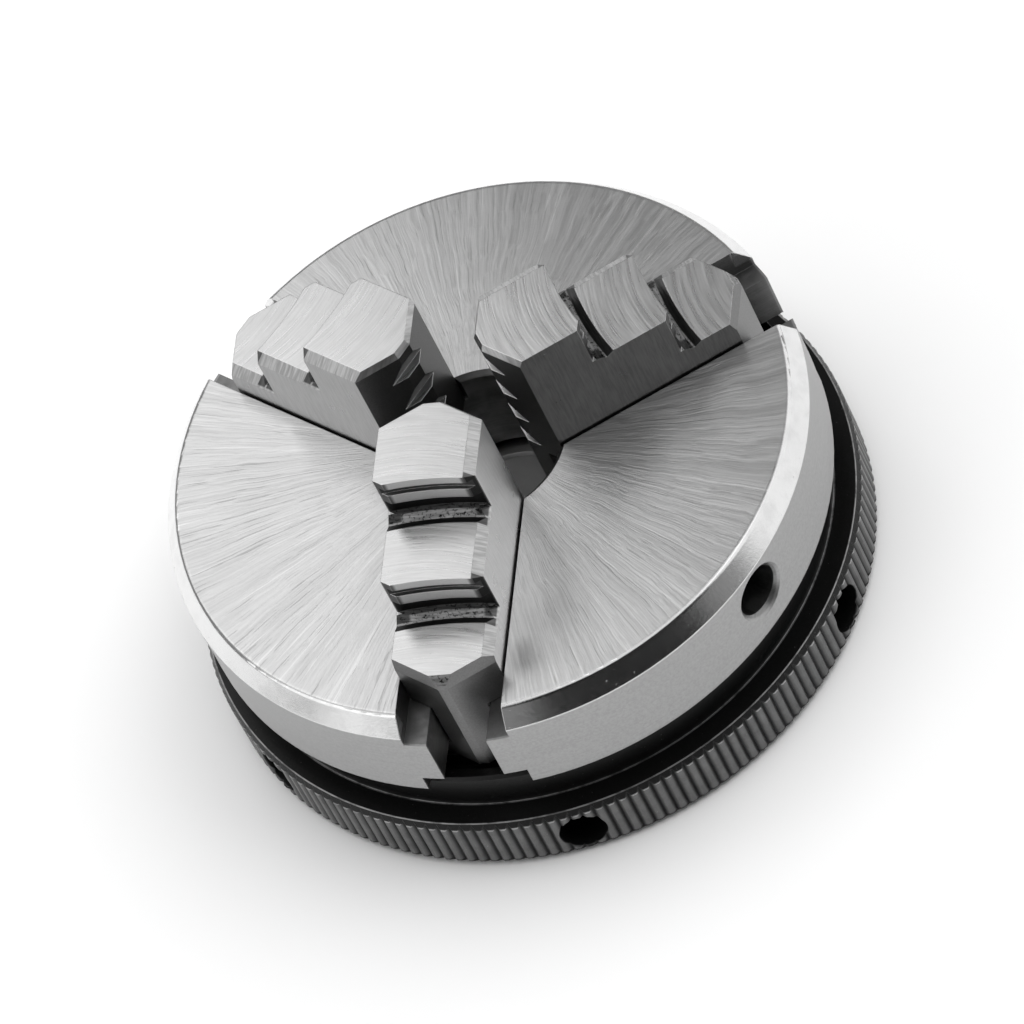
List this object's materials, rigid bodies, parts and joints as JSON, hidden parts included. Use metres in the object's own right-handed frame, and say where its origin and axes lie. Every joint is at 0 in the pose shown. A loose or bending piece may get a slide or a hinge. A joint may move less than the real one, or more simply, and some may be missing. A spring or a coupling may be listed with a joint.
{
  "type": "lathe chuck",
  "caption": "Small self-centring scroll chuck: a ground steel body with stepped jaws that slide in radial slots, driven by a knurled black ring turned with bars, and a threaded rear plate.",
  "frame": {"origin": "centre of the rear plate's rear face, on the spindle axis", "axes": "+Z along the spindle axis towards the jaws; -Y along jaw_1, with jaw_2 at 30 degrees and jaw_3 at 150 degrees from +X"},
  "size_m": [0.0654, 0.0654, 0.0357],
  "materials": {
    "body_steel": "ground front face with marks fanning out from the centre, satin turned side, polished rim",
    "jaw_steel": "ground, fine lines across the top faces",
    "ring_black": "black oxide, worn bright on the edges, straight knurl on the band",
    "plate_steel": "turned",
    "screw_steel": "black oxide"
  },
  "bodies": {
    "body": {"chuck_body": "body_steel", "rear_plate": "plate_steel", "plate_screw_1": "screw_steel", "plate_screw_2": "screw_steel", "plate_screw_3": "screw_steel"},
    "ring": {"scroll_ring": "ring_black"},
    "jaw_a": {"jaw_1": "jaw_steel"},
    "jaw_b": {"jaw_2": "jaw_steel"},
    "jaw_c": {"jaw_3": "jaw_steel"}
  },
  "joints": [
    {"name": "ring_turn", "type": "hinge", "parent": "body", "child": "ring", "pos_m": [0, 0, 0.0075], "axis": [0, 0, 1], "range_deg": [-900, 396]},
    {"name": "jaw_1_slide", "type": "slide", "parent": "body", "child": "jaw_a", "axis": [0, -1, 0], "range_m": [-0.00331, 0.00751]},
    {"name": "jaw_2_slide", "type": "slide", "parent": "body", "child": "jaw_b", "axis": [0.866, 0.5, 0], "range_m": [-0.00331, 0.00751]},
    {"name": "jaw_3_slide", "type": "slide", "parent": "body", "child": "jaw_c", "axis": [-0.866, 0.5, 0], "range_m": [-0.00331, 0.00751]}
  ],
  "couplings": [
    {"joint": "jaw_1_slide", "follows": "ring_turn", "m_per_rad": -0.00047746},
    {"joint": "jaw_2_slide", "follows": "ring_turn", "m_per_rad": -0.00047746},
    {"joint": "jaw_3_slide", "follows": "ring_turn", "m_per_rad": -0.00047746}
  ]
}
